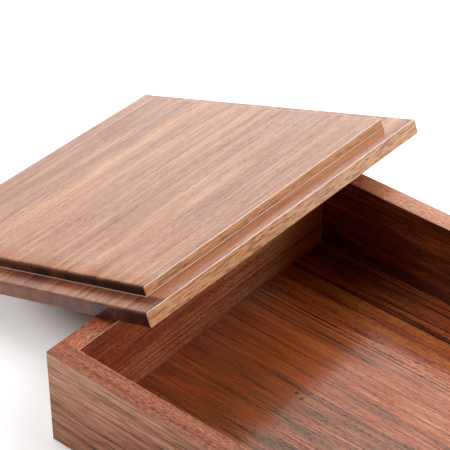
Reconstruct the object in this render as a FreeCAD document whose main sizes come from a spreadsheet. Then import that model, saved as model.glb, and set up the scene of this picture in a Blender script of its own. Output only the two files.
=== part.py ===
import FreeCAD, Part
import os
import Sketcher

# A low square keepsake box of solid walnut, and its lift-off lid.
#
# The box stands on the ground, centred on the origin: +X runs along the front wall to the right,
# +Y from the front wall to the back wall, +Z up. Four walls are butted and dowelled at the
# corners, and a floor of edge-glued staves sits in a rebate along their lower inside edges.
# The lid is a board of edge-glued staves, rebated all round one face, so that the raised field
# drops between the walls while the flange lies on the rim. It lies off the box here: field up,
# leaning on the rim of the left wall and standing on its front left corner.

document = FreeCAD.newDocument("keepsake_box")
sheet = document.addObject("Spreadsheet::Sheet", "sizes")

# Driving sizes in millimetres: alias, value, meaning
SIZES = [
    ("box_width", 225, "outside of the box and lid, left to right"),
    ("box_depth", 225, "outside of the box and lid, front to back"),
    ("wall_height", 60, "ground to rim"),
    ("wall_thickness", 12, "all four walls"),
    ("wall_edge_radius", 0.5, "rounding of the rim and of the outer bottom edge"),
    ("wall_corner_radius", 0.8, "rounding of the four upright outer corners"),
    ("floor_thickness", 9, "floor, whose underside is flush with the walls"),
    ("floor_rebate", 6, "how far the floor reaches under each wall"),
    ("floor_glue_gap", 0.1, "glue line round the floor in its rebate"),
    ("dowel_diameter", 6, "corner dowel"),
    ("dowel_length", 30, "corner dowel"),
    ("dowel_seat", 8, "length of a dowel that lies in the front or back wall"),
    ("dowel_low", 22, "height of the lower dowel above the ground"),
    ("dowel_high_drop", 16, "depth of the upper dowel below the rim"),
    ("dowel_hole_play", 0.1, "hole diameter less dowel diameter"),
    ("dowel_glue_room", 1, "room for glue beyond each end of a dowel"),
    ("flange_thickness", 9, "flange of the lid, which lies on the rim"),
    ("field_height", 5.5, "raised field of the lid, above the flange"),
    ("lid_play", 1, "gap between the lid's field and each wall"),
    ("lid_side_radius", 0.5, "rounding of the lid's sides and uprights"),
    ("lid_end_radius", 1.2, "rounding of the lid's end grain, above and below"),
    ("cove_radius", 0.4, "cove that the cutter leaves at the foot of the field"),
    ("lean_reach", 43.8, "lid beyond the rim it leans on, along the middle of its slope"),
    ("lean_shift", 36.7, "how far back the leaning lid lies"),
    ("lean_skew", 3.2, "how much further its back end reaches over the box than its front"),
    ("lean_gap", 0.2, "gap between the leaning lid and the rim"),
]

# Widths of the staves as they are jointed, in millimetres. A glued board is trimmed to the box,
# so its row of staves is stretched or narrowed as a whole to fill the board.
STAVES = {
    "floor_stave": [46, 36.5, 31.5, 34, 31.5, 33.5],  # from the front
    "lid_stave": [24.5, 35, 37, 25.5, 28, 32, 43],  # from the lid's lower edge
}

# Sizes that follow from the driving ones: alias, formula
DERIVED = [
    ("box_left", "-box_width / 2"),
    ("box_front", "-box_depth / 2"),
    ("opening_width", "box_width - 2 * wall_thickness"),
    ("opening_depth", "box_depth - 2 * wall_thickness"),
    ("opening_left", "-opening_width / 2"),
    ("opening_right", "opening_width / 2"),
    ("opening_front", "-opening_depth / 2"),
    ("opening_back", "opening_depth / 2"),
    ("recess_width", "opening_width + 2 * floor_rebate"),
    ("recess_depth", "opening_depth + 2 * floor_rebate"),
    ("floor_width", "recess_width - 2 * floor_glue_gap"),
    ("floor_depth", "recess_depth - 2 * floor_glue_gap"),
    ("floor_left", "-floor_width / 2"),
    ("dowel_high", "wall_height - dowel_high_drop"),
    ("dowel_radius", "dowel_diameter / 2"),
    ("dowel_right", "(box_width - wall_thickness) / 2"),
    ("dowel_left", "-dowel_right"),
    ("dowel_back", "opening_back + dowel_seat - dowel_length / 2"),
    ("dowel_front", "-dowel_back"),
    ("hole_radius", "dowel_radius + dowel_hole_play / 2"),
    ("hole_length", "dowel_length + 2 * dowel_glue_room"),
    ("field_width", "opening_width - 2 * lid_play"),
    ("field_depth", "opening_depth - 2 * lid_play"),
    ("lid_thickness", "flange_thickness + field_height"),
    # The lid is turned a little on its slope, so that it stands on its front left corner.
    ("turn_angle", "asin(lean_skew / box_depth)"),
    ("foot_across", "(box_width / 2 - lid_side_radius) * cos(turn_angle)"),
    ("foot_along", "(box_depth / 2 - lid_end_radius) * sin(turn_angle)"),
    # From the centre of the rim's rounding, the middle of the lid lies half_run down the slope.
    # The centre of that corner's rounding lies lean_run down the slope and lean_rise above it.
    ("half_run", "box_width / 2 - lean_reach"),
    ("lean_run", "half_run + foot_across + foot_along"),
    ("lean_rise", "wall_edge_radius + lean_gap + lid_side_radius"),
    ("lean_drop", "wall_height - wall_edge_radius - lid_side_radius"),
    ("lean_span", "sqrt(lean_run ^ 2 + lean_rise ^ 2)"),
    ("lean_angle", "atan(lean_rise / lean_run) + asin(lean_drop / lean_span)"),
    # The lid's lower face clears the centre of the rim's rounding by rim_clear.
    ("rim_clear", "wall_edge_radius + lean_gap"),
    ("rim_x", "box_left + wall_edge_radius"),
    ("rim_z", "wall_height - wall_edge_radius"),
    ("lid_x", "rim_x - rim_clear * sin(lean_angle) - half_run * cos(lean_angle)"),
    ("lid_z", "rim_z + rim_clear * cos(lean_angle) - half_run * sin(lean_angle)"),
]

TOUCH = 0.001  # lengths this close count as the same, and so do volumes within this share


def fill_sheet():
    """Write every size into the sheet, one row each, with the staves' widths and starts last."""
    rows = list(SIZES)
    rows += [(alias, f"={formula}", "") for alias, formula in DERIVED]
    for board, across in (("floor_stave", "floor_depth"), ("lid_stave", "box_width")):
        names = [f"{board}_{number}" for number in range(1, len(STAVES[board]) + 1)]
        rows += [(name, width, "as jointed") for name, width in zip(names, STAVES[board])]
        rows.append((f"{board}_trim", f"={across} / ({' + '.join(names)})", "stretch to the board"))
        start = f"-{across} / 2"
        for name in names:
            rows.append((f"{name}_start", f"={start}", "place across the board"))
            rows.append((f"{name}_width", f"={name} * {board}_trim", "as trimmed"))
            start = f"{name}_start + {name}_width"
    for row, (alias, content, meaning) in enumerate(rows, 1):
        sheet.set(f"A{row}", alias)
        sheet.set(f"B{row}", str(content))
        sheet.set(f"C{row}", meaning)
        sheet.setAlias(f"B{row}", alias)
    document.recompute()


def size(alias):
    """The present value of one of the sheet's sizes."""
    return float(sheet.get(alias))


def bind(item, **aliases):
    """Bind properties of an object to sizes of the sheet; two underscores stand for a dot."""
    for path, alias in aliases.items():
        item.setExpression(path.replace("__", "."), f"sizes.{alias}")


# ---------------------------------------------------------------------------------------------
# Modelling steps that several pieces share


def new_body(name):
    """A body with a name of its own."""
    return document.addObject("PartDesign::Body", name)


def new_sketch(body, name, plane):
    """A sketch on one of the body's own origin planes."""
    sketch = body.newObject("Sketcher::SketchObject", name)
    origin_plane = next(item for item in body.Origin.OriginFeatures if item.Role == plane)
    sketch.AttachmentSupport = [(origin_plane, "")]
    sketch.MapMode = "FlatFace"
    return sketch


def draw_rectangle(sketch, width, depth):
    """Draw a rectangle about the sketch's origin, with two of the sheet's sizes for its sides."""
    x = size(width) / 2
    y = size(depth) / 2
    corners = [FreeCAD.Vector(*place) for place in ((-x, -y), (x, -y), (x, y), (-x, y))]
    first = sketch.GeometryCount
    for number in range(4):
        sketch.addGeometry(Part.LineSegment(corners[number], corners[(number + 1) % 4]))
    for number, direction in enumerate(("Horizontal", "Vertical", "Horizontal", "Vertical")):
        following = first + (number + 1) % 4
        sketch.addConstraint(Sketcher.Constraint("Coincident", first + number, 2, following, 1))
        sketch.addConstraint(Sketcher.Constraint(direction, first + number))
    sketch.addConstraint(Sketcher.Constraint("Symmetric", first, 1, first + 2, 1, -1, 1))
    across = sketch.addConstraint(Sketcher.Constraint("DistanceX", first, 1, first, 2, 2 * x))
    upward = sketch.addConstraint(Sketcher.Constraint("DistanceY", first + 1, 1, first + 1, 2, 2 * y))
    bind(sketch, **{f"Constraints[{across}]": width, f"Constraints[{upward}]": depth})


def draw_circle(sketch, radius, height):
    """Draw a circle on the sketch's upright axis, with two of the sheet's sizes."""
    centre = FreeCAD.Vector(0, size(height), 0)
    circle = sketch.addGeometry(Part.Circle(centre, FreeCAD.Vector(0, 0, 1), size(radius)))
    sketch.addConstraint(Sketcher.Constraint("PointOnObject", circle, 3, -2))
    wide = sketch.addConstraint(Sketcher.Constraint("Radius", circle, size(radius)))
    high = sketch.addConstraint(Sketcher.Constraint("DistanceY", -1, 1, circle, 3, size(height)))
    bind(sketch, **{f"Constraints[{wide}]": radius, f"Constraints[{high}]": height})


def add_pad(body, name, sketch, length, side_type="One side"):
    """Pad a sketch by a size of the sheet."""
    pad = body.newObject("PartDesign::Pad", name)
    pad.Profile = sketch
    pad.SideType = side_type
    bind(pad, Length=length)
    document.recompute()


def add_pocket(body, name, sketch, depth, area):
    """Cut a sketch upward by a size of the sheet, and make sure that it cut this area all the way."""
    before = body.Shape.Volume
    pocket = body.newObject("PartDesign::Pocket", name)
    pocket.Profile = sketch
    pocket.Reversed = True
    bind(pocket, Length=depth)
    document.recompute()
    cut = before - body.Shape.Volume
    expected = area * size(depth)
    if abs(cut - expected) > TOUCH * expected:
        raise RuntimeError(f"{name} cut {cut:.0f} cubic millimetres, not {expected:.0f}")


def add_fillet(body, name, wanted, radius):
    """Round the body's edges for which wanted(edge) is true, by a size of the sheet."""
    base = body.Tip
    names = [f"Edge{number}" for number, edge in enumerate(base.Shape.Edges, 1) if wanted(edge)]
    fillet = body.newObject("PartDesign::Fillet", name)
    fillet.Base = (base, names)
    bind(fillet, Radius=radius)
    document.recompute()


def near(value, target):
    """Whether two lengths count as the same."""
    return abs(value - target) < TOUCH


def is_level(edge, height, width, depth):
    """Whether an edge lies at a height, along a centred rectangle with these two sizes."""
    box = edge.BoundBox
    reach_x = max(abs(box.XMin), abs(box.XMax))
    reach_y = max(abs(box.YMin), abs(box.YMax))
    at_height = near(box.ZMin, height) and near(box.ZMax, height)
    within = reach_x < size(width) / 2 + TOUCH and reach_y < size(depth) / 2 + TOUCH
    return at_height and within and (near(reach_x, size(width) / 2) or near(reach_y, size(depth) / 2))


def add_block(name, low, sides):
    """A block from the sizes that place its low corner and the sizes of its sides."""
    block = document.addObject("Part::Box", name)
    axes = ("x", "y", "z")
    bind(block, **{f"Placement__Base__{axis}": alias for axis, alias in zip(axes, low) if alias})
    bind(block, **dict(zip(("Length", "Width", "Height"), sides)))
    return block


def part_off(name, whole, block):
    """The share of a whole that a block holds."""
    share = document.addObject("Part::Common", name)
    share.Base = whole
    share.Tool = block
    return share


fill_sheet()
nodes = []

# ---------------------------------------------------------------------------------------------
# Frame of the walls. Its four boards are rounded together once they are glued up, so that the
# arrises run unbroken past the joints; the frame is modelled whole and then parted.

frame = new_body("wall_frame")
outline = new_sketch(frame, "wall_outline", "XY_Plane")
draw_rectangle(outline, "box_width", "box_depth")
draw_rectangle(outline, "opening_width", "opening_depth")
add_pad(frame, "wall_pad", outline, "wall_height")

# The rebate for the floor stops short of the outer faces, so it never shows from outside.
recess = new_sketch(frame, "recess_outline", "XY_Plane")
draw_rectangle(recess, "recess_width", "recess_depth")
recess_area = size("recess_width") * size("recess_depth")
opening_area = size("opening_width") * size("opening_depth")
add_pocket(frame, "floor_recess", recess, "floor_thickness", recess_area - opening_area)


def is_frame_corner(edge):
    """Whether an edge stands at one of the four outer corners."""
    box = edge.BoundBox
    at_side = near(abs(box.Center.x), size("box_width") / 2)
    at_end = near(abs(box.Center.y), size("box_depth") / 2)
    return at_side and at_end and near(box.ZLength, size("wall_height"))


def is_frame_arris(edge):
    """Whether an edge runs round the rim, inside or outside, or round the outer bottom."""
    heights = (0, size("wall_height"))
    outside = any(is_level(edge, height, "box_width", "box_depth") for height in heights)
    return outside or is_level(edge, size("wall_height"), "opening_width", "opening_depth")


add_fillet(frame, "wall_corners", is_frame_corner, "wall_corner_radius")
add_fillet(frame, "wall_arrises", is_frame_arris, "wall_edge_radius")

# ---------------------------------------------------------------------------------------------
# Dowels. Two hold each corner, one above the other, in holes that go through the joint from the
# front or back wall into the side wall's end grain and are blind at both ends.

CORNERS = {
    "front_left": ("dowel_left", "dowel_front"),
    "front_right": ("dowel_right", "dowel_front"),
    "back_left": ("dowel_left", "dowel_back"),
    "back_right": ("dowel_right", "dowel_back"),
}


def add_rod_pair(name, corner, radius, length):
    """Two rods along Y, one above the other, where a corner's dowels lie."""
    pair = new_body(name)
    section = new_sketch(pair, f"{name}_section", "XZ_Plane")
    draw_circle(section, radius, "dowel_low")
    draw_circle(section, radius, "dowel_high")
    add_pad(pair, f"{name}_pad", section, length, "Symmetric")
    place_x, place_y = CORNERS[corner]
    bind(pair, Placement__Base__x=place_x, Placement__Base__y=place_y)
    return pair


hole_pairs = []
for corner in CORNERS:
    nodes.append(add_rod_pair(f"{corner}_dowels", corner, "dowel_radius", "dowel_length"))
    hole_pairs.append(add_rod_pair(f"{corner}_holes", corner, "hole_radius", "hole_length"))

holes = document.addObject("Part::Compound", "dowel_holes")
holes.Links = hole_pairs

# ---------------------------------------------------------------------------------------------
# Walls. The front and back walls run the full width, and the side walls are butted between them.

WALLS = {
    "front_wall": (("box_left", "box_front"), ("box_width", "wall_thickness")),
    "back_wall": (("box_left", "opening_back"), ("box_width", "wall_thickness")),
    "left_wall": (("box_left", "opening_front"), ("wall_thickness", "opening_depth")),
    "right_wall": (("opening_right", "opening_front"), ("wall_thickness", "opening_depth")),
}
for name, (low, sides) in WALLS.items():
    block = add_block(f"{name}_block", low, (*sides, "wall_height"))
    wall = document.addObject("Part::Cut", name)
    wall.Base = part_off(f"{name}_board", frame, block)
    wall.Tool = holes
    nodes.append(wall)

# ---------------------------------------------------------------------------------------------
# Floor. Its staves run left to right and fill the rebate up to its shoulder.

for number in range(1, len(STAVES["floor_stave"]) + 1):
    name = f"floor_stave_{number}"
    sides = ("floor_width", f"{name}_width", "floor_thickness")
    nodes.append(add_block(name, ("floor_left", f"{name}_start"), sides))

# ---------------------------------------------------------------------------------------------
# Lid. The staves, which run front to back, are glued into one board; its rebate, arrises and
# corners are then cut straight across them. The board is modelled whole, lying on its outer face
# with the field up, and then parted at the glue lines.

board = new_body("lid_board")
board_outline = new_sketch(board, "board_outline", "XY_Plane")
draw_rectangle(board_outline, "box_width", "box_depth")
add_pad(board, "board_pad", board_outline, "lid_thickness")

rebate = new_sketch(board, "rebate_outline", "XY_Plane")
bind(rebate, AttachmentOffset__Base__z="flange_thickness")
draw_rectangle(rebate, "box_width", "box_depth")
draw_rectangle(rebate, "field_width", "field_depth")
board_area = size("box_width") * size("box_depth")
field_area = size("field_width") * size("field_depth")
add_pocket(board, "lid_rebate", rebate, "field_height", board_area - field_area)


def is_lid_arris(edge):
    """Whether an edge runs round the flange, above or below, or round the top of the field."""
    heights = (0, size("flange_thickness"))
    flange = any(is_level(edge, height, "box_width", "box_depth") for height in heights)
    return flange or is_level(edge, size("lid_thickness"), "field_width", "field_depth")


def is_end_arris(edge):
    """Whether an edge runs across the end grain."""
    return is_lid_arris(edge) and near(edge.BoundBox.YLength, 0)


def is_side_arris(edge):
    """Whether an edge runs with the grain."""
    return is_lid_arris(edge) and near(edge.BoundBox.XLength, 0)


def is_field_foot(edge):
    """Whether an edge runs round the foot of the field."""
    return is_level(edge, size("flange_thickness"), "field_width", "field_depth")


# The ends are rounded first, so the sides' rounding runs on down the upright edges.
add_fillet(board, "end_arrises", is_end_arris, "lid_end_radius")
add_fillet(board, "side_arrises", is_side_arris, "lid_side_radius")
add_fillet(board, "field_cove", is_field_foot, "cove_radius")

LEANING = (
    "placement(vector(sizes.lid_x; sizes.lean_shift; sizes.lid_z);"
    " rotation(vector(0; -1; 0); sizes.lean_angle)"
    " * rotation(vector(0; 0; -1); sizes.turn_angle))"
)
for number in range(1, len(STAVES["lid_stave"]) + 1):
    name = f"lid_stave_{number}"
    sides = (f"{name}_width", "box_depth", "lid_thickness")
    block = add_block(f"{name}_block", (f"{name}_start", "box_front"), sides)
    stave = part_off(name, board, block)
    stave.setExpression("Placement", LEANING)
    nodes.append(stave)

# ---------------------------------------------------------------------------------------------
# Check the document and write each piece to a file of its own

document.recompute()
for item in document.Objects:
    if "Invalid" in item.State or "Error" in item.State:
        raise RuntimeError(f"{item.Label} failed to build: {item.State}")
for node in nodes:
    if node.Shape.isNull() or not node.Shape.isValid():
        raise RuntimeError(f"{node.Label} has no valid shape")

os.makedirs("parts", exist_ok=True)
for node in nodes:
    node.Shape.exportStep(f"parts/{node.Label}.step")
    print(f"{node.Label}: {len(node.Shape.Solids)} solid(s), {node.Shape.Volume / 1000:.1f} cm3")
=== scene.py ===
import bpy
import math
from mathutils import Euler, Matrix, Vector

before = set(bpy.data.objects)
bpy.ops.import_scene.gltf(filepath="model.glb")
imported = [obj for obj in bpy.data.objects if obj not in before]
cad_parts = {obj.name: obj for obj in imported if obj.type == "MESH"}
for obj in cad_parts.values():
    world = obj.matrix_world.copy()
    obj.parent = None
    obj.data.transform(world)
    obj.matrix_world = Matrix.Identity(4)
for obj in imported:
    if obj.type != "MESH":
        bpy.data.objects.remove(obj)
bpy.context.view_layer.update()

# ---------------------------------------------------------------------------------------------
# Walls: four boards of straight-grained American walnut, 12 mm thick, planed, sanded and glued up,
# then sprayed with a thin satin lacquer. The lacquer darkens the end grain and leaves the pores
# open, so they read as fine dark dashes along a face and as a dense speckle on the narrow rims.

MM = 0.001
ALONG_X = (0.0, 0.0, 0.0)  # turns that lay a board into its log, whose grain runs along X
ALONG_Y = (0.0, 0.0, -math.pi / 2)
WALL_TONES = ["#CF946E", "#B0663D", "#70301A", "#2A0F06"]  # earlywood, body, latewood, open pore
BODY = 0.35  # where plain wood lies between the palest tone, at 0, and the darkest, at 1
ARRIS_HIGHLIGHT = "#F0D8C6"  # painted highlight on the rounded arrises
SLANT = (0.15, 0.4)  # where an arris's painted highlight begins and is strongest: 0 is its rim, 0.5 its middle
GROWTH = 3.5  # millimetres from one growth ring to the next
WANDER = 6  # millimetres by which the grain strays from a straight line
STRAY = (130, 30)  # millimetres along and across the grain over which it strays
FIGURE = (170, 12)  # the same for the broad bands of heartwood colour
FADE = (50, 9)  # and for the stretches in which growth lines come and go
LINED = 250  # width, centred on the box, in which a board's own growth lines can lie


def linear(hex_colour):
    """An sRGB hex colour as linear red, green, blue and alpha."""
    values = [int(hex_colour[i : i + 2], 16) / 255 for i in (1, 3, 5)]
    return [v / 12.92 if v <= 0.04045 else ((v + 0.055) / 1.055) ** 2.4 for v in values] + [1.0]


def stretch(size):
    """The scale of a pattern whose marks have this length along the grain and width across it."""
    return (1 / size[0], 1 / size[1], 1 / size[1])


def add_node(tree, kind, inputs=(), **settings):
    """Add a shader node with its settings. An input, by name or number, takes a value, a socket or
    another node, which stands for its first output."""
    node = tree.nodes.new("ShaderNode" + kind)
    for name, value in settings.items():
        setattr(node, name, value)
    for key, value in dict(inputs).items():
        if isinstance(value, bpy.types.Node):
            value = value.outputs[0]
        if isinstance(value, bpy.types.NodeSocket):
            tree.links.new(value, node.inputs[key])
        else:
            node.inputs[key].default_value = value
    return node


def walnut(name, turn=ALONG_X, log=(0, 0, 0), pith=(8, -70), width="Y", tones=WALL_TONES, tone=0.0,
           shade_slope=(0.0, 0.0), edge=0.0, end=0.3, figure=0.3, growth=0.3, fibre=(22, 0.6, 0.5),
           pores=(5, 0.7, 0.3), speckle=(1, 0.5, 0.0), arris=(0.6, 0.6), film=(0.9, 0.8), index=1.5,
           lines=(), straight=(), knots=(), step=()):
    """Satin lacquered walnut for one board. Sizes are in millimetres, and strengths and darkness
    are shares of the way from the board's palest tone to its darkest.

    turn, log, width: how the board is turned and shifted into its log, and its way across
    pith: the log's centre beside the board, which the growth rings run round
    tones, tone: four tones from pale to dark, and how far the whole board is darkened
    sap: painted light and shade, as how much darker its faces get in 100 mm along and across it
    edge, end: how much darker its narrow edges and its end grain are
    figure, growth: strength of the broad bands and of the growth rings
    fibre, pores, speckle: length, width and strength; the speckle is the pores on narrow edges
    arris: how strong the painted highlight on the long arrises is, on the log's -Y and +Y sides
    film, index: the lacquer's cover, how uneven it is, and its refractive index
    lines: growth lines that wander and fade, as place across the board, half width and darkness
    straight: lines that keep their place, such as glue lines, given in the same way
    knots: pin knots, as centre and radius
    step: a rebated end, as place, depth, darkness (stain and painted shade) and height of its foot
    """
    material = bpy.data.materials.new(name)
    material.use_nodes = True
    tree = material.node_tree
    tree.nodes.clear()
    surface = add_node(tree, "TexCoord")
    board = {"Vector": surface.outputs["Object"], "Location": log, "Rotation": turn}
    board = add_node(tree, "Mapping", {**board, "Scale": (1 / MM, 1 / MM, 1 / MM)})
    place = add_node(tree, "SeparateXYZ", {"Vector": board}).outputs

    # Growth rings are shells round the pith, which wanders along the log. Their width varies, and
    # only the upper part of the noise shows, as narrow dark latewood.
    drift = add_node(tree, "Mapping", {"Vector": board, "Scale": stretch(STRAY)})
    drift = add_node(tree, "TexNoise", {"Vector": drift, "Scale": 1.0, "Detail": 2.0}).outputs["Color"]
    drift = {0: drift, 1: (0, WANDER, WANDER), 2: board}
    drift = add_node(tree, "VectorMath", drift, operation="MULTIPLY_ADD")
    shell = {0: drift, 1: (0, 1, 1), 2: (0, -pith[0], -pith[1])}
    shell = add_node(tree, "VectorMath", shell, operation="MULTIPLY_ADD")
    shell = add_node(tree, "VectorMath", {0: shell}, operation="LENGTH").outputs["Value"]
    ring = add_node(tree, "Math", {0: shell, 1: 1 / GROWTH}, operation="MULTIPLY")
    ring = {"W": ring, "Scale": 1.0, "Detail": 3.0, "Roughness": 0.6}
    ring = add_node(tree, "TexNoise", ring, noise_dimensions="1D")
    ring = {"Value": ring, "From Min": 0.53, "From Max": 0.68}
    ring = add_node(tree, "MapRange", ring, interpolation_type="SMOOTHSTEP")

    # Marks drawn out along the grain, each with its detail, the part of the noise that shows and
    # what that part becomes. Real fibres and pores are at most 0.2 mm wide, too fine to show, so
    # they are drawn 0.5 to 0.8 mm wide.
    marks = []
    for size, detail, (low, high), (least, most) in (
        (FIGURE, 3.0, (0.3, 0.7), (-0.5, 0.5)),
        (fibre, 2.0, (0.3, 0.7), (-0.5, 0.5)),
        (speckle, 1.0, (0.42, 0.6), (-0.3, 0.7)),
        (FADE, 2.0, (0.38, 0.6), (0.3, 1.0)),
    ):
        mark = add_node(tree, "Mapping", {"Vector": board, "Scale": stretch(size)})
        mark = add_node(tree, "TexNoise", {"Vector": mark, "Scale": 1.0, "Detail": detail})
        mark = {"Value": mark, "From Min": low, "From Max": high, "To Min": least, "To Max": most}
        marks.append(add_node(tree, "MapRange", mark))
    band, streak, dot, fade = marks
    pore = add_node(tree, "Mapping", {"Vector": board, "Scale": stretch(pores)})
    pore = add_node(tree, "TexVoronoi", {"Vector": pore, "Scale": 1.0})
    pore = {"Value": pore, "From Min": 0.45, "From Max": 0.2}
    pore = add_node(tree, "MapRange", pore, interpolation_type="SMOOTHSTEP")

    # Which way the surface faces in the log: a flat face, a narrow edge or end grain. A wall's rims
    # and all end grain show less of the fibres and pores, and only narrow edges have the speckle.
    faced = add_node(tree, "Mapping", {"Vector": surface.outputs["Normal"], "Rotation": turn})
    facing = add_node(tree, "VectorMath", {0: faced}, operation="ABSOLUTE")
    faced = add_node(tree, "SeparateXYZ", {"Vector": faced}).outputs
    facing = add_node(tree, "SeparateXYZ", {"Vector": facing}).outputs
    narrow = facing[width]
    flat = add_node(tree, "Math", {0: 1.0, 1: narrow}, operation="SUBTRACT")
    across_end = add_node(tree, "MapRange", {"Value": facing["X"], "From Min": 0.4, "From Max": 0.95})
    fine = {0: narrow, 1: float(width == "Z"), 2: across_end}
    fine = add_node(tree, "Math", fine, operation="MULTIPLY_ADD")
    fine = add_node(tree, "MapRange", {"Value": fine, "To Min": 1.0, "To Max": 0.4})
    streak = add_node(tree, "Math", {0: streak, 1: fine}, operation="MULTIPLY")
    pore = add_node(tree, "Math", {0: pore, 1: fine}, operation="MULTIPLY")
    dot = add_node(tree, "Math", {0: dot, 1: narrow}, operation="MULTIPLY")

    # The board's own growth lines stray with the grain, and are added to the rings.
    across = add_node(tree, "SeparateXYZ", {"Vector": drift}).outputs[width]
    across = {"Value": across, "From Min": (WANDER - LINED) / 2, "From Max": (WANDER + LINED) / 2}
    across = add_node(tree, "MapRange", across)
    line = add_node(tree, "ValToRGB", {"Fac": across})
    stops = line.color_ramp.elements
    for stop in stops:
        stop.color = (0, 0, 0, 1)
    for middle, reach, darkness in lines:
        for offset, value in ((-reach, 0), (0, darkness), (reach, 0)):
            stops.new((middle + offset) / LINED + 0.5).color = (value, value, value, 1)
    line = add_node(tree, "Math", {0: ring, 1: growth, 2: line}, operation="MULTIPLY_ADD")

    # How dark the wood is at each point, as the sum of all that darkens it or makes it paler.
    slope = (shade_slope[0] / 100, shade_slope[1] / 100 * (width == "Y"), shade_slope[1] / 100 * (width == "Z"))
    darker = add_node(tree, "VectorMath", {0: board, 1: slope}, operation="DOT_PRODUCT")
    darker = {0: darker.outputs["Value"], 1: slope[0] * log[0]}
    darker = add_node(tree, "Math", darker, operation="SUBTRACT")
    total = add_node(tree, "Math", {0: darker, 1: flat, 2: BODY + tone}, operation="MULTIPLY_ADD")
    strengths = (
        (band, figure),
        (line, fade),
        (streak, fibre[2]),
        (pore, pores[2]),
        (dot, speckle[2]),
        (across_end, end),
        (narrow, edge),
    )
    for pattern, strength in strengths:
        total = add_node(tree, "Math", {0: pattern, 1: strength, 2: total}, operation="MULTIPLY_ADD")
    for middle, reach, darkness in straight:
        glue = add_node(tree, "Math", {0: place[width], 1: middle}, operation="SUBTRACT")
        glue = add_node(tree, "Math", {0: glue}, operation="ABSOLUTE")
        glue = {"Value": glue, "From Min": reach, "From Max": 0.0, "To Max": darkness}
        glue = add_node(tree, "MapRange", glue)
        total = add_node(tree, "Math", {0: glue, 1: total}, operation="ADD")
    for centre, radius in knots:
        knot = add_node(tree, "VectorMath", {0: board, 1: centre}, operation="DISTANCE").outputs["Value"]
        knot = {"Value": knot, "From Min": radius, "From Max": 0.5 * radius}
        knot = add_node(tree, "MapRange", knot)
        total = add_node(tree, "Math", {0: knot, 1: total}, operation="ADD")

    # A rebated end is darkened in ragged streaks that deepen from the end to the foot of the step and
    # stop just past it: partly stain taken up by the rougher cut, partly painted shade from the step.
    # It shines least at that foot.
    shine = film[0]
    if step:
        start, depth, stain_and_shade, foot = step
        along = add_node(tree, "Math", {0: place["X"], 1: start + log[0]}, operation="SUBTRACT")
        rise = {"Value": along, "From Min": 1.0, "From Max": depth}
        rise = {**rise, "To Min": 0.4 * stain_and_shade, "To Max": stain_and_shade}
        rise = add_node(tree, "MapRange", rise, interpolation_type="SMOOTHSTEP")
        ragged = add_node(tree, "Math", {0: streak, 1: 0.7, 2: 1.0}, operation="MULTIPLY_ADD")
        rise = add_node(tree, "Math", {0: rise, 1: ragged}, operation="MULTIPLY")
        rise = add_node(tree, "Math", {0: rise, 1: flat}, operation="MULTIPLY")
        fall = {"Value": along, "From Min": depth + 2.5, "From Max": depth + 0.3}
        fall = add_node(tree, "MapRange", fall)
        total = add_node(tree, "Math", {0: rise, 1: fall, 2: total}, operation="MULTIPLY_ADD")
        shine = add_node(tree, "Math", {0: along, 1: depth}, operation="SUBTRACT")
        shine = add_node(tree, "Math", {0: shine}, operation="ABSOLUTE")
        shine = {"Value": shine, "From Min": 0.3, "From Max": 14, "To Min": 0.25, "To Max": 1.0}
        shine = add_node(tree, "MapRange", shine)
        shine = add_node(tree, "Math", {0: shine, 1: film[0]}, operation="MULTIPLY")
    colour = add_node(tree, "ValToRGB", {"Fac": total})
    stops = colour.color_ramp.elements
    for position in (0.33, 0.66):
        stops.new(position)
    for stop, shade in zip(stops, tones):
        stop.color = linear(shade)

    # Painted highlights on the arrises: the long ones on each side, and on a stepped board the cove
    # at the foot of the step and the rounding over the far end.
    for sign, paleness in zip((-1, 1), arris):
        slant = add_node(tree, "Math", {0: faced["Y"], 1: facing["Z"]}, operation="MULTIPLY")
        painted_highlight = {"Value": slant, "From Min": SLANT[0] * sign, "From Max": SLANT[1] * sign}
        painted_highlight = add_node(tree, "MapRange", {**painted_highlight, "To Max": paleness})
        colour = add_node(tree, "MixRGB", {"Fac": painted_highlight, "Color1": colour, "Color2": linear(ARRIS_HIGHLIGHT)})
    if step:
        slant = add_node(tree, "Math", {0: facing["X"], 1: facing["Z"]}, operation="MULTIPLY")
        painted_highlight = {"Value": slant, "From Min": SLANT[0], "From Max": SLANT[1], "To Max": 0.6}
        painted_highlight = add_node(tree, "MapRange", painted_highlight)
        low = {"Value": place["Z"], "From Min": foot + 2.5, "From Max": foot + 1.5}
        low = add_node(tree, "MapRange", low)
        near = add_node(tree, "MapRange", {"Value": along, "From Min": depth - 3, "From Max": depth - 2})
        painted_highlight = add_node(tree, "Math", {0: painted_highlight, 1: low}, operation="MULTIPLY")
        painted_highlight = add_node(tree, "Math", {0: painted_highlight, 1: near}, operation="MULTIPLY")
        slant = add_node(tree, "Math", {0: faced["X"], 1: facing["Z"]}, operation="MULTIPLY")
        far = add_node(tree, "MapRange", {"Value": slant, "From Min": 0.1, "From Max": 0.3, "To Max": 0.7})
        painted_highlight = add_node(tree, "Math", {0: painted_highlight, 1: far}, operation="MAXIMUM")
        colour = add_node(tree, "MixRGB", {"Fac": painted_highlight, "Color1": colour, "Color2": linear(ARRIS_HIGHLIGHT)})

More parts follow.
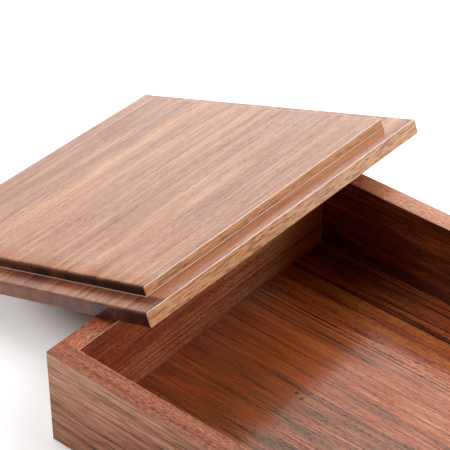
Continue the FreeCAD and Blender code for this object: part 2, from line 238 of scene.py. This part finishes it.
    # A thin satin film over the wood gives soft highlights, broken up by the fibres and pores. It
    # sinks into the end grain, which stays duller.
    height = add_node(tree, "Math", {0: pore, 1: -2.0, 2: streak}, operation="MULTIPLY_ADD")
    bump = add_node(tree, "Bump", {"Height": height, "Strength": 0.2, "Distance": 0.02 * MM})
    soaked = add_node(tree, "MapRange", {"Value": across_end, "To Min": 1.0, "To Max": 0.5})
    cover = add_node(tree, "Math", {0: shine, 1: soaked}, operation="MULTIPLY")
    even = add_node(tree, "Math", {0: streak, 1: -film[1], 2: 1.0}, operation="MULTIPLY_ADD")
    even = add_node(tree, "Math", {0: pore, 1: -0.5, 2: even}, operation="MULTIPLY_ADD")
    cover = add_node(tree, "Math", {0: cover, 1: even}, operation="MULTIPLY")
    finish = {
        "Base Color": colour,
        "Roughness": 0.5,
        "Specular IOR Level": 0.15,
        "Normal": bump,
        "Coat Weight": cover,
        "Coat Roughness": 0.17,
        "Coat IOR": index,
        "Coat Normal": bump,
    }
    shader = add_node(tree, "BsdfPrincipled", finish)
    add_node(tree, "OutputMaterial", {"Surface": shader})
    return material


def finish_node(name, material):
    """Give a CAD node its material."""
    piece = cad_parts[name]
    piece.data.materials.clear()
    piece.data.materials.append(material)


SHADED_RED_TONES = ["#D29365", "#A6502B", "#662812", "#2A0F06"]  # the same wood, redder and deeper, a painted shade for the left wall's inside under the lid
SAP_TONES = ["#DCA480", "#B0663D", "#70301A", "#2A0F06"]  # and where it is cut near the sapwood
WALLS = {
    # The front wall's slope paints it paler towards its top left, a painted highlight, and darker towards
    # its foot, a painted shade.
    "front_wall": {
        "log": (0, 0, 0), "pith": (100, -30), "tones": SAP_TONES, "tone": 0.2, "shade_slope": (0.2, -0.4),
        "edge": -0.12, "end": 0.1, "arris": (0.0, 0.3), "film": (0.5, 1.4), "figure": 0.2,
        "fibre": (45, 0.7, 0.5), "pores": (12, 0.8, 0.25), "speckle": (3, 0.6, 0.25),
    },
    # The back wall's faces are darkened (tone) as painted shade for its inside under the lid, and its rims
    # are made paler again (edge).
    "back_wall": {
        "log": (300, 0, 0), "pith": (-90, -40), "tone": 0.24, "edge": -0.46, "end": 0.1,
        "arris": (0.3, 0.3), "fibre": (22, 0.8, 0.4), "pores": (5, 0.7, 0.25),
    },
    # The left wall's redder tones are painted shade for its inside under the lid, it is painted paler
    # towards the back, and its straight line at 9 mm is painted shade where the floor meets it.
    "left_wall": {  # a quartered board, whose growth lines run straight
        "turn": ALONG_Y, "log": (700, 0, 0), "pith": (90, -60), "tones": SHADED_RED_TONES, "tone": -0.23,
        "shade_slope": (-0.3, 0), "edge": 0.13, "arris": (0.6, 0.3), "film": (0.4, 1.2), "figure": 0.4,
        "fibre": (24, 0.8, 0.4), "pores": (3, 0.7, 0.35),
        "straight": ((9, 0.7, 0.5), (19, 0.6, 0.25), (22.5, 0.5, 0.3),
                     (26, 0.5, 0.35), (30, 0.5, 0.3), (34, 0.6, 0.2)),
    },
    "right_wall": {"turn": ALONG_Y, "log": (1100, 0, 0), "pith": (90, -30), "arris": (0.3, 0.6)},
}
for wall, settings in WALLS.items():
    settings = {"width": "Z", "figure": 0.25, "growth": 0.2, "speckle": (3, 0.6, 0.3), **settings}
    finish_node(wall, walnut(f"{wall}_walnut", **settings))

# ---------------------------------------------------------------------------------------------
# Floor: six walnut staves glued edge to edge, set in a rebate in the walls and lacquered like them.
# The ones at the back are orange with bold dark growth lines, slightly wavy. The front ones are
# browner and plainer, and the third has two pin knots.

FLOOR_TONES = ["#DA843A", "#B55521", "#74320F", "#2E0E06"]
BROWN_TONES = ["#C47D38", "#AF4F1C", "#7A4820", "#3A1509"]
FLOOR_CUT = 400  # millimetres of log from one stave to the next, so no grain runs over a glue line
FLOOR_PITH = (300, -90)  # the log's centre, turned to the other side for every second stave
FLOOR_STAVES = {
    1: {"tones": BROWN_TONES, "tone": 0.17, "shade_slope": (0.14, 0), "growth": 0.15,
        "lines": ((-85, 0.5, 0.2), (-70, 0.5, 0.2))},
    2: {"tones": BROWN_TONES, "tone": 0.16, "shade_slope": (0.14, 0), "growth": 0.2,
        "lines": ((-52, 0.5, 0.2), (-38, 0.5, 0.2))},
    3: {"tones": BROWN_TONES, "tone": 0.13, "shade_slope": (0.14, 0), "growth": 0.2,
        "lines": ((-17.9, 0.5, 0.3), (-7.2, 0.5, 0.35), (5, 3, 0.15)),
        "knots": (((-30.5, -11.5, 9), 1.2), ((-25.8, -13, 9), 1.0))},
    4: {"tones": BROWN_TONES, "tone": -0.16, "growth": 0.4, "fibre": (30, 0.7, 0.5),
        "lines": ((7.5, 3, 0.3), (14.5, 0.5, 0.35), (23.5, 0.5, 0.35), (32.2, 0.5, 0.5))},
    5: {"tone": -0.1, "growth": 0.7, "fibre": (30, 0.7, 0.5), "pores": (4, 0.7, 0.35),
        "lines": ((48.5, 0.5, 0.5), (52.5, 0.5, 0.5), (57.2, 0.5, 0.5), (61.9, 0.5, 0.5)),
        "straight": ((41.6, 1.2, 0.7),)},
    6: {"tone": 0.05, "growth": 0.6, "fibre": (30, 0.7, 0.5), "pores": (4, 0.7, 0.35),
        "lines": ((82.5, 0.5, 0.5),), "straight": ((73.1, 1.8, 0.7),)},
}
for number, settings in FLOOR_STAVES.items():
    log = (FLOOR_CUT * number, 0, 0)
    if "knots" in settings:  # given on the box, and moved into the log
        settings["knots"] = [((x + log[0], y, z), radius) for (x, y, z), radius in settings["knots"]]
    # The floor's lacquer mirrors more than that of the walls.
    settings = {"tones": FLOOR_TONES, "growth": 0.35, "figure": 0.5, "fibre": (30, 0.7, 0.6),
                "pores": (4, 0.8, 0.2), "film": (0.75, 1.0), "index": 1.68, **settings}
    pith = (FLOOR_PITH[0] * (-1) ** number, FLOOR_PITH[1])
    wood = walnut(f"floor_stave_{number}_walnut", log=log, pith=pith, **settings)
    finish_node(f"floor_stave_{number}", wood)

# ---------------------------------------------------------------------------------------------
# Lid: seven walnut staves glued edge to edge and rebated all round, which leaves a raised field. It
# is loose, and lies upside down at a slope and a little askew. The wood is even and pinkish, with
# fine fibres, short dashes and faint bands. Its arrises carry painted highlights, and its narrow
# edges are painted paler, as painted light from the right.

LID_TONES = ["#E1A674", "#AE744D", "#864428", "#33120A"]
LID_CUT = 300  # millimetres of log from one stave to the next
LID_PITH = (400, -90)
LID_STAVES = {  # tone of each, and how dark its end is; staves 6 and 7 have darker ends as painted shade over the box
    1: (0.03, 0.1),
    2: (0.06, 0.1),
    3: (-0.04, 0.1),
    4: (0.0, 0.1),
    5: (0.03, 0.14),
    6: (0.0, 0.28),
    7: (0.0, 0.42),
}
FLANGE = 13  # width of the flange
FIELD = 5.5  # how far the field stands above it
STAIN_AND_SHADE = 0.42  # how dark the flange is at the front end, by stain and by painted shade from the step

# The way the lid lies is read from its middle stave: its largest face gives the slope, and a long
# edge gives the turn. Laid level in the log, its front end and its field's foot are single places.
lid_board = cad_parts["lid_stave_4"].data
top = max(lid_board.polygons, key=lambda face: face.area)
side = max((face for face in lid_board.polygons if face.normal.x > 0.9), key=lambda face: face.area)
slope = math.atan2(abs(top.normal.x), abs(top.normal.z))
lid_turn = (0.0, slope, -math.pi / 2 - math.asin(side.normal.y))
lengthwise, _, heightwise = Euler(lid_turn).to_matrix()
front_end = min(lengthwise.dot(corner.co) for corner in lid_board.vertices) / MM
foot = max(heightwise.dot(corner.co) for corner in lid_board.vertices) / MM - FIELD
# The lid's narrow edges are made paler (edge below zero): painted light from the right on its long sides.
for number, (tone, end) in LID_STAVES.items():
    log = (LID_CUT * number, 0, 0)
    pith = (LID_PITH[0] * (-1) ** number, LID_PITH[1])
    wood = walnut(f"lid_stave_{number}_walnut", turn=lid_turn, log=log, pith=pith, tones=LID_TONES,
                  tone=tone, edge=-0.54, end=end, figure=0.3, growth=0.05, fibre=(40, 0.6, 0.28),
                  pores=(5, 0.7, 0.2), speckle=(8, 0.5, 0.7), arris=(0.8, 0.8),
                  step=(front_end, FLANGE, STAIN_AND_SHADE, foot))
    finish_node(f"lid_stave_{number}", wood)

# ---------------------------------------------------------------------------------------------
# Dowels: 6 mm beech rod, cut across and glued in raw, hidden in the corner joints. Beech is pale
# and even, with short brown flecks along the grain.

BEECH = ["#D9B58C", "#C49A6C", "#9A6B42"]
FLECK = (0.5, 3, 0.5)  # millimetres across, along and across the rod
beech = bpy.data.materials.new("raw_beech")
beech.use_nodes = True
tree = beech.node_tree
tree.nodes.clear()
grain = add_node(tree, "TexCoord").outputs["Object"]
grain = add_node(tree, "Mapping", {"Vector": grain, "Scale": [1 / (MM * size) for size in FLECK]})
grain = add_node(tree, "TexNoise", {"Vector": grain, "Scale": 1.0, "Detail": 2.0})
colour = add_node(tree, "ValToRGB", {"Fac": grain})
stops = colour.color_ramp.elements
stops.new(0.5)
for stop, place, shade in zip(stops, (0.35, 0.55, 0.7), BEECH):
    stop.position = place
    stop.color = linear(shade)
bump = add_node(tree, "Bump", {"Height": grain, "Strength": 0.3, "Distance": 0.05 * MM})
raw = {"Base Color": colour, "Roughness": 0.75, "Specular IOR Level": 0.3, "Normal": bump}
add_node(tree, "OutputMaterial", {"Surface": add_node(tree, "BsdfPrincipled", raw)})
for corner in ("front_left", "front_right", "back_left", "back_right"):
    finish_node(f"{corner}_dowels", beech)

# ---------------------------------------------------------------------------------------------
# Studio: a white paper sheet that the box stands on, the soft light round it, and the camera. The
# sheet looks brighter than it lights, so that it ends in plain white, except in the shade under
# the lid and close round the box.

bpy.ops.object.select_all(action="DESELECT")
bpy.ops.mesh.primitive_plane_add(size=6)
ground = bpy.context.object
ground.name = "ground"

GLOW = 0.45  # what the sheet shines by itself, where it is seen or mirrored
SHADE = (-0.165, 0.03, 0)  # where the shade under the lid is deepest
SHADED = (0.055, 0.095)  # metres from there to where it begins to lift, and to where it ends
FOOTPRINT = (0.1125, 0.1125, 1)  # half the box, which stands on the middle of the sheet
BESIDE = (0.05, 0.45)  # metres in which the box shades the sheet, and the share of glow beside it
paper = bpy.data.materials.new("white_paper")
paper.use_nodes = True
tree = paper.node_tree
tree.nodes.clear()
path = add_node(tree, "LightPath")
seen = {0: path.outputs["Is Camera Ray"], 1: path.outputs["Is Glossy Ray"]}
seen = add_node(tree, "Math", seen, operation="MAXIMUM")
seen = add_node(tree, "Math", {0: path.outputs["Is Transmission Ray"], 1: seen}, operation="MAXIMUM")
place = add_node(tree, "TexCoord").outputs["Object"]
shade = add_node(tree, "VectorMath", {0: place, 1: SHADE}, operation="DISTANCE").outputs["Value"]
shade = {"Value": shade, "From Min": SHADED[0], "From Max": SHADED[1], "To Max": GLOW}
shade = add_node(tree, "MapRange", shade, interpolation_type="SMOOTHSTEP")
beside = add_node(tree, "VectorMath", {0: place}, operation="ABSOLUTE")
beside = add_node(tree, "VectorMath", {0: beside, 1: FOOTPRINT}, operation="SUBTRACT")
beside = add_node(tree, "VectorMath", {0: beside}, operation="MAXIMUM")
beside = add_node(tree, "VectorMath", {0: beside}, operation="LENGTH").outputs["Value"]
beside = add_node(tree, "MapRange", {"Value": beside, "From Max": BESIDE[0], "To Min": BESIDE[1]})
glow = add_node(tree, "Math", {0: seen, 1: shade}, operation="MULTIPLY")
glow = add_node(tree, "Math", {0: glow, 1: beside}, operation="MULTIPLY")
sheet = {
    "Base Color": (0.9, 0.9, 0.9, 1),
    "Roughness": 0.9,
    "Emission Color": (1, 1, 1, 1),
    "Emission Strength": glow,
}
add_node(tree, "OutputMaterial", {"Surface": add_node(tree, "BsdfPrincipled", sheet)})
ground.data.materials.append(paper)

# Soft light: the compass bearing of each from +Y towards +X and its height, both in degrees, its
# focus, which is higher for a narrower light, and its strength.
LIGHTS = [
    (18, 43, 50, 12.5),
    (335, 43, 50, 3.4),
    (270, 60, 14, 6.0),
    (315, 8, 14, 2.6),
    (45, 8, 14, 8.0),
    (235, 32, 14, 2.2),
]
world = bpy.data.worlds.new("studio")
bpy.context.scene.world = world
world.use_nodes = True
sky = world.node_tree
sky.nodes.clear()
direction = add_node(sky, "TexCoord").outputs["Generated"]
total = 0.0
for bearing, height, focus, strength in LIGHTS:
    b, h = math.radians(bearing), math.radians(height)
    centre = (math.sin(b) * math.cos(h), math.cos(b) * math.cos(h), math.sin(h))
    facing = add_node(sky, "VectorMath", {0: direction, 1: centre}, operation="DOT_PRODUCT")
    clipped = add_node(sky, "Math", {0: facing.outputs["Value"], 1: 0.0}, operation="MAXIMUM")
    lobe = add_node(sky, "Math", {0: clipped, 1: focus}, operation="POWER")
    total = add_node(sky, "Math", {0: lobe, 1: strength, 2: total}, operation="MULTIPLY_ADD")
add_node(sky, "OutputWorld", {"Surface": add_node(sky, "Background", {"Strength": total})})

# The camera looks down into the box from its front right. The columns of its turn are its right,
# its up and the way back from what it looks at.
STAND = Vector((393.4, -571.3, 657.5)) * MM
TURN = Matrix((
    (0.76452, -0.39059, 0.51279),
    (0.6446, 0.46527, -0.60664),
    (-0.00164, 0.79434, 0.60748),
))
camera = bpy.data.objects.new("camera", bpy.data.cameras.new("camera"))
bpy.context.scene.collection.objects.link(camera)
camera.data.sensor_width = 36
camera.data.lens = 143.7
camera.location = STAND
camera.rotation_euler = TURN.to_euler()
bpy.context.scene.camera = camera
bpy.context.scene.view_settings.view_transform = "Standard"
